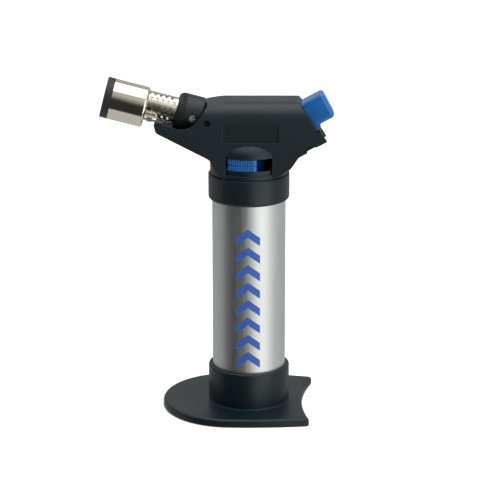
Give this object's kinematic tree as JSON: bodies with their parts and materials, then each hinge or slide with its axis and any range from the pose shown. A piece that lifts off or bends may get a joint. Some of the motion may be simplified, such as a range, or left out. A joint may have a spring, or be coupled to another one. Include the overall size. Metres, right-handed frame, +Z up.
{
  "type": "butane torch",
  "caption": "Bench butane torch: cylindrical gas tank in a socketed foot, pistol-like head with push trigger, flame lever, air ring, perforated burner and chrome cowl.",
  "frame": {"origin": "on the tank's axis, at the foot's underside", "axes": "+Z up along the tank's axis, -X towards the nozzle, +Y to the head's right-hand side"},
  "size_m": [0.1257, 0.0759, 0.1856],
  "materials": {
    "black_nylon": "fine moulded texture",
    "black_phenolic": "satin",
    "brushed_aluminium": "brushed",
    "natural_nylon": "satin",
    "felt": "soft",
    "black_rubber": "matte",
    "brass": "machined",
    "spring_steel": "drawn wire",
    "zinc_steel": "zinc plated",
    "black_steel": "blackened",
    "nickel_steel": "bright nickel",
    "blue_plastic": "satin gloss",
    "piezo_plastic": "satin",
    "red_insulation": "smooth",
    "chrome_plate": "mirror plated",
    "oxidised_steel": "heat blackened",
    "ceramic_white": "glazed"
  },
  "bodies": {
    "foot": {"foot": "black_nylon"},
    "torch": {"upper_collar": "black_nylon", "housing_left": "black_nylon", "housing_right": "black_nylon", "tank_retainer": "black_nylon", "tank_bottom_cap": "black_nylon", "tank_sleeve": "brushed_aluminium", "fuel_tank": "natural_nylon", "gas_tube": "natural_nylon", "wick": "felt", "tank_seal": "black_rubber", "refill_seal": "black_rubber", "valve_oring": "black_rubber", "refill_valve_body": "brass", "gas_valve_body": "brass", "jet_holder": "brass", "burner_base": "brass", "refill_spring": "spring_steel", "valve_spring": "spring_steel", "trigger_spring": "spring_steel", "housing_screws": "zinc_steel", "burner_screw": "black_steel", "ring_screw": "nickel_steel", "valve_lever_pin": "zinc_steel", "lock_pin": "zinc_steel", "piezo_body": "piezo_plastic", "ignition_lead": "red_insulation", "mixing_tube": "nickel_steel", "burner_tube": "nickel_steel", "flame_holder": "nickel_steel", "electrode": "nickel_steel", "electrode_clip": "nickel_steel", "cowl": "chrome_plate", "cowl_front_ring": "oxidised_steel", "electrode_insulator": "ceramic_white"},
    "trigger": {"trigger_button": "blue_plastic", "trigger_carriage": "black_nylon", "piezo_plunger": "piezo_plastic"},
    "valve_lever": {"valve_lever": "zinc_steel"},
    "valve_stem": {"valve_stem": "brass", "valve_seat_seal": "black_rubber"},
    "flame_lever": {"flame_lever": "blue_plastic", "regulator_sleeve": "brass"},
    "air_ring": {"air_ring": "black_phenolic"},
    "lock_lever": {"lock_lever": "black_nylon"},
    "refill_stem": {"refill_stem": "brass"}
  },
  "joints": [
    {"name": "foot_pull_off", "type": "slide", "parent": "foot", "child": "torch", "axis": [0, 0, 1], "range_m": [0, 0.05]},
    {"name": "trigger_press", "type": "slide", "parent": "torch", "child": "trigger", "axis": [-0.878, 0, -0.4787], "range_m": [0, 0.006], "stiffness_N_per_m": 600, "springref_m": -0.005, "deforming": ["trigger_spring"]},
    {"name": "valve_lever_turn", "type": "hinge", "parent": "torch", "child": "valve_lever", "pos_m": [0.0085, 0, 0.147], "axis": [0, 1, 0], "range_deg": [0, 12.1]},
    {"name": "valve_stem_lift", "type": "slide", "parent": "torch", "child": "valve_stem", "axis": [0, 0, 1], "range_m": [0, 0.00101], "stiffness_N_per_m": 150, "springref_m": -0.003, "deforming": ["valve_spring"]},
    {"name": "flame_lever_turn", "type": "hinge", "parent": "torch", "child": "flame_lever", "pos_m": [0, 0, 0.142], "axis": [0, 0, 1], "range_deg": [0, 25]},
    {"name": "air_ring_turn", "type": "hinge", "parent": "torch", "child": "air_ring", "pos_m": [-0.03216, 0, 0.16584], "axis": [-0.9677, 0, 0.2521], "range_deg": [0, 40]},
    {"name": "lock_lever_turn", "type": "hinge", "parent": "torch", "child": "lock_lever", "pos_m": [0.039, 0, 0.15297], "axis": [0, 1, 0], "range_deg": [0, 12]},
    {"name": "refill_press", "type": "slide", "parent": "torch", "child": "refill_stem", "axis": [0, 0, 1], "range_m": [0, 0.0015], "stiffness_N_per_m": 300, "springref_m": -0.002, "deforming": ["refill_spring"]}
  ],
  "couplings": [
    {"joint": "valve_lever_turn", "follows": "trigger_press", "rad_per_m": 34.907},
    {"joint": "valve_stem_lift", "follows": "trigger_press", "ratio": 0.16667}
  ]
}
